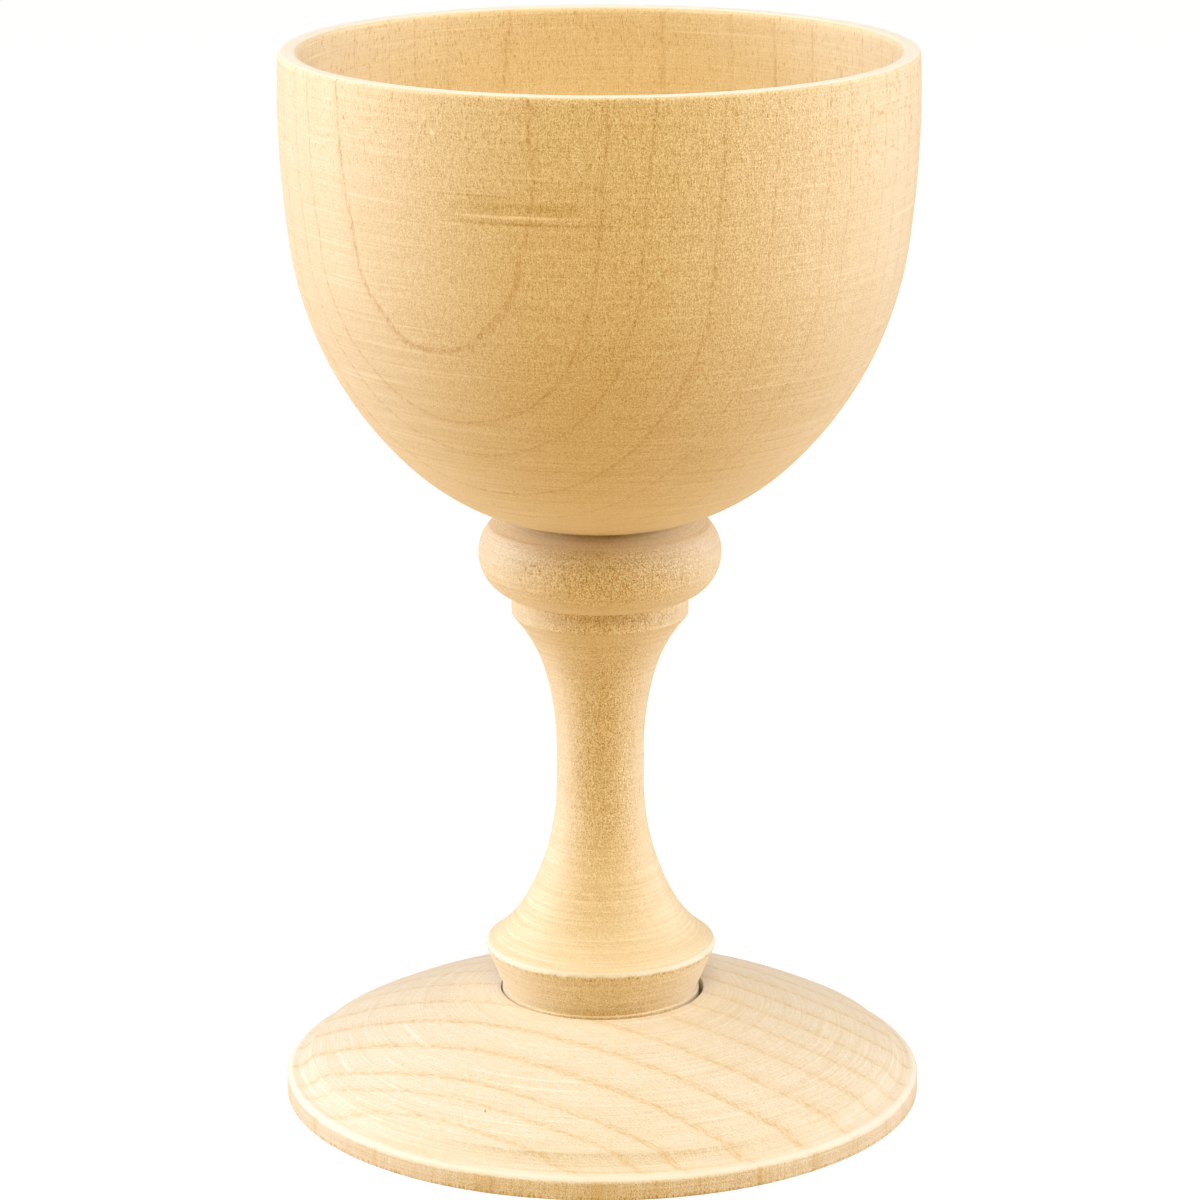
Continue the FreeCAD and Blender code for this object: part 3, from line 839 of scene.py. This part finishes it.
def maple(wood):
    """Bare turned maple: cream wood with fine brown lines under a soft, dry sheen.

    wood is one of the tables below, with all that tells one piece's wood from another's.
    """
    material = bpy.data.materials.new(wood["name"])
    material.use_nodes = True
    tree = material.node_tree
    shader = tree.nodes["Principled BSDF"]

    at = in_the_wood(tree, wood)
    painted_fuzz_shade = fuzz_and_fibre_shade(tree, wood, at)
    marks, tears = tool_marks(tree, at)
    bands = grains(tree, at["fibrewise"], BANDS_PER_MM, 2.0)
    # deeper where the surface faces front or back and paler at the sides: partly flat-sawn figure,
    # partly painted shade on the front and painted light on the sides
    front_shade_figure = add(tree, "ShaderNodeMapRange", {0: at["flat_sawn"], 1: 0.5, 2: 1.0, 3: -0.5, 4: 0.5})
    swings = ((bands, BANDS_WEIGHT), (at["wander"], WANDER_WEIGHT), (front_shade_figure, wood["front_shade_figure"]))
    tone = weighted(tree, MIDDLE_TONE - (BANDS_WEIGHT + WANDER_WEIGHT) / 2, swings)
    toned = {0: tone, 6: linear(wood["pale"]), 7: linear(wood["deep"])}
    colour = add(tree, "ShaderNodeMix", toned, out=2, data_type="RGBA", clamp_factor=False)
    lined = {0: ring_lines(tree, wood, at), 6: colour, 7: linear(wood["line"])}
    colour = add(tree, "ShaderNodeMix", lined, out=2, data_type="RGBA")

    # fuzz and tool marks here are painted shade and glint, tears are pale lines, and rays, nicks
    # and flaws are real marks
    painted_shade_and_marks = (
        (painted_fuzz_shade, 4.6), (marks, 0.8), (tears, -0.45), (ray_ticks(tree, at), 0.38),
        (nicks_in_edge(tree, wood, at), 0.7), (flaws(tree, at["point"], wood["flaws"]), 0.65),
    )  # fmt: skip
    shaded = {0: weighted(tree, 0.0, painted_shade_and_marks), 6: colour, 7: linear(SHADE_AND_MARK_TINT)}
    colour = add(
        tree, "ShaderNodeMix", shaded, out=2,
        data_type="RGBA", blend_type="MULTIPLY", clamp_factor=False,
    )  # fmt: skip
    # painted highlight on the top of the rim, and wear with painted highlight on the edges
    whitened = {0: paled(tree, wood, at), 6: colour, 7: linear(PALED_WOOD)}
    colour = add(tree, "ShaderNodeMix", whitened, out=2, data_type="RGBA")
    tree.links.new(colour, shader.inputs["Base Color"])

    relief = weighted(tree, 0.0, ((marks, 0.6), (at["fibres"], 0.5), (at["fuzz"], 1.0)))
    relief = {"Height": relief, "Strength": 1.0, "Distance": RELIEF_DEPTH}
    tree.links.new(add(tree, "ShaderNodeBump", relief), shader.inputs["Normal"])
    shader.inputs["Roughness"].default_value = 0.55
    shader.inputs["IOR"].default_value = 1.5
    shader.inputs["Sheen Weight"].default_value = 0.2
    shader.inputs["Sheen Roughness"].default_value = 0.5
    return material


print("the relief of the fuzz is", RELIEF_DEPTH * MM_IN_METRE, "mm deep")

# %% [markdown]
# The cup and the foot are the same kind of wood from two pieces. The cup's fibres stand upright.
# The foot's lie level, from side to side, with their right end turned 28 degrees to the front. The
# foot is the paler of the two.

# %% The two woods
# fuzz and lines are how strongly each shows, as (height in millimetres, level) pairs, and the fuzz
# is painted shade. The figure is how much deeper wood facing front or back is than wood at the
# sides: partly flat-sawn figure, partly painted shade. The edges are given by their heights, and
# the worn one is also painted highlight
CUP_WOOD = {
    "name": "maple_turned_along_the_grain",
    "grain": (0.0, 0.0, 1.0),
    "beside": (0.96, -0.29, 0.0),
    "axis_x": CUP_AXIS_X,
    "middle_z": 75.0,
    "depth_of": cup_depth,
    "rings": CUP_RINGS,
    "year": CUP_YEAR,
    "fuzz": [
        (0, 0.65), (19, 0.65), (20, 0.4), (30, 0.45), (38, 0.75), (60, 0.8), (65, 0.95),
        (74, 0.95), (80, 0.7), (100, 0.65), (112, 0.57), (140, 0.57),
    ],
    "lines": [(0, 0.3), (70, 0.3), (82, 0.65), (140, 0.65)],
    "front_shade_figure": 0.6,
    "nicked_edge": 19.1,
    "worn_highlit_edge": 19.65,
    "flaws": CUP_FLAWS,
    "pale": "#FBECCF",
    "deep": "#EFD5A2",
    "line": "#D2A45C",
}  # fmt: skip
FOOT_WOOD = {
    "name": "maple_turned_across_the_board",
    "grain": (0.88, -0.475, 0.0),
    "beside": (0.475, 0.88, 0.0),
    "axis_x": 0.0,
    "middle_z": 0.0,
    "depth_of": foot_depth,
    "rings": FOOT_RINGS,
    "year": FOOT_YEAR,
    "fuzz": [(0, 0.5), (2.2, 0.5), (3, 0.4), (4.8, 0.4), (5.4, 0.75), (140, 0.75)],
    "lines": [(0, 0.9), (140, 0.9)],
    "front_shade_figure": 0.2,
    "nicked_edge": 0.25,
    "worn_highlit_edge": 2.65,
    "flaws": [PIN_HOLE_IN_FOOT],
    "pale": "#F9F0E3",
    "deep": "#F1E0C2",
    "line": "#E5C78C",
}
cup.data.materials.append(maple(CUP_WOOD))
foot.data.materials.append(maple(FOOT_WOOD))
print("materials:", [m.name for m in bpy.data.materials])

# %% [markdown]
# ## Floor and light
#
# The chalice stands on a plain white sweep, which reaches far past the picture. The camera sees it
# as white with the soft shadow of the foot. To the wood it is a warm honey tone, so that what it
# throws back fills the middle of each round form, which faces none of the lamps.

# %% The floor
HALF_FLOOR = 3.0
WARM_BOUNCE = (0.7, 0.52, 0.26, 1)
SHADOW_GREY = (0.12, 0.12, 0.12, 1)
WHITE = (1, 1, 1, 1)
PAPER_GLOW = 0.98

floor_mesh = bpy.data.meshes.new("floor")
corners = [(HALF_FLOOR * x, HALF_FLOOR * y, 0) for x, y in ((-1, -1), (1, -1), (1, 1), (-1, 1))]
floor_mesh.from_pydata(corners, [], [(0, 1, 2, 3)])
floor = bpy.data.objects.new("floor", floor_mesh)
scene.collection.objects.link(floor)

paper = bpy.data.materials.new("white_paper_sweep")
paper.use_nodes = True
tree = paper.node_tree
tree.nodes.clear()
bounce = add(tree, "ShaderNodeBsdfDiffuse", {"Color": WARM_BOUNCE})
shaded = add(tree, "ShaderNodeBsdfDiffuse", {"Color": SHADOW_GREY})
glow = add(tree, "ShaderNodeEmission", {"Color": WHITE, "Strength": PAPER_GLOW})
seen = add(tree, "ShaderNodeAddShader", {0: shaded, 1: glow})
is_camera = add(tree, "ShaderNodeLightPath", out="Is Camera Ray")
surface = add(tree, "ShaderNodeMixShader", {0: is_camera, 1: bounce, 2: seen})
output = tree.nodes.new("ShaderNodeOutputMaterial")
tree.links.new(surface, output.inputs["Surface"])
floor.data.materials.append(paper)
print("the floor is", 2 * HALF_FLOOR, "m wide")

# %% [markdown]
# Soft lamps of cool daylight stand on both sides, the low pair strongest, and give the form its
# pale edges. One warm lamp high in front lights the flare, the foot and the inside of the cup,
# and a weak one overhead the rim. What no lamp reaches takes a little warm light from the room.

# %% The lamps and the room
MIDDLE_OF_CHALICE = (0, 0, 0.07)
DAYLIGHT = (0.83, 0.875, 1.0)
WARM_WHITE = (1.0, 0.85, 0.5)
PLAIN_WHITE = (1.0, 0.97, 0.92)
WARM_ROOM = (0.12, 0.068, 0.008, 1)

# each lamp as (name, place, width, watts, colour)
LAMPS = [
    ("left_softbox", (-0.6, 0.12, 0.28), 0.5, 1.75, DAYLIGHT),
    ("low_left_softbox", (-0.6, 0.1, 0.1), 0.35, 2.25, DAYLIGHT),
    ("high_left_softbox", (-0.5, -0.1, 0.75), 0.4, 1.08, DAYLIGHT),
    ("right_front_softbox", (0.55, -0.1, 0.38), 0.5, 1.4, DAYLIGHT),
    ("low_right_softbox", (0.6, 0.1, 0.1), 0.35, 2.3, DAYLIGHT),
    ("back_left_softbox", (-0.4, 0.5, 0.45), 0.4, 0.35, DAYLIGHT),
    ("high_front_softbox", (0.0, -0.5, 0.75), 0.4, 3.75, WARM_WHITE),
    ("top_softbox", (0.0, -0.1, 0.85), 0.5, 1.5, PLAIN_WHITE),
]


def soft_lamp(name, place_at, width, watts, colour):
    """A square area lamp at a place, turned to the middle of the chalice."""
    light = bpy.data.lights.new(name, "AREA")
    light.size, light.energy, light.color = width, watts, colour
    lamp = bpy.data.objects.new(name, light)
    lamp.location = place_at
    way = np.array(MIDDLE_OF_CHALICE) - np.array(place_at)
    yaw = math.atan2(way[1], way[0]) - math.pi / 2
    tilt = math.atan2(float(np.hypot(way[0], way[1])), -way[2])
    lamp.rotation_euler = (tilt, 0, yaw)
    scene.collection.objects.link(lamp)


for lamp in LAMPS:
    soft_lamp(*lamp)
print(len(LAMPS), "lamps with", sum(lamp[3] for lamp in LAMPS), "W together")

world = bpy.data.worlds.new("room")
scene.world = world
world.use_nodes = True
tree = world.node_tree
is_camera = add(tree, "ShaderNodeLightPath", out="Is Camera Ray")
fill = {0: is_camera, 6: WARM_ROOM, 7: WHITE}
fill = add(tree, "ShaderNodeMix", fill, out=2, data_type="RGBA")
tree.links.new(fill, tree.nodes["Background"].inputs["Color"])

scene.view_settings.view_transform = "Standard"
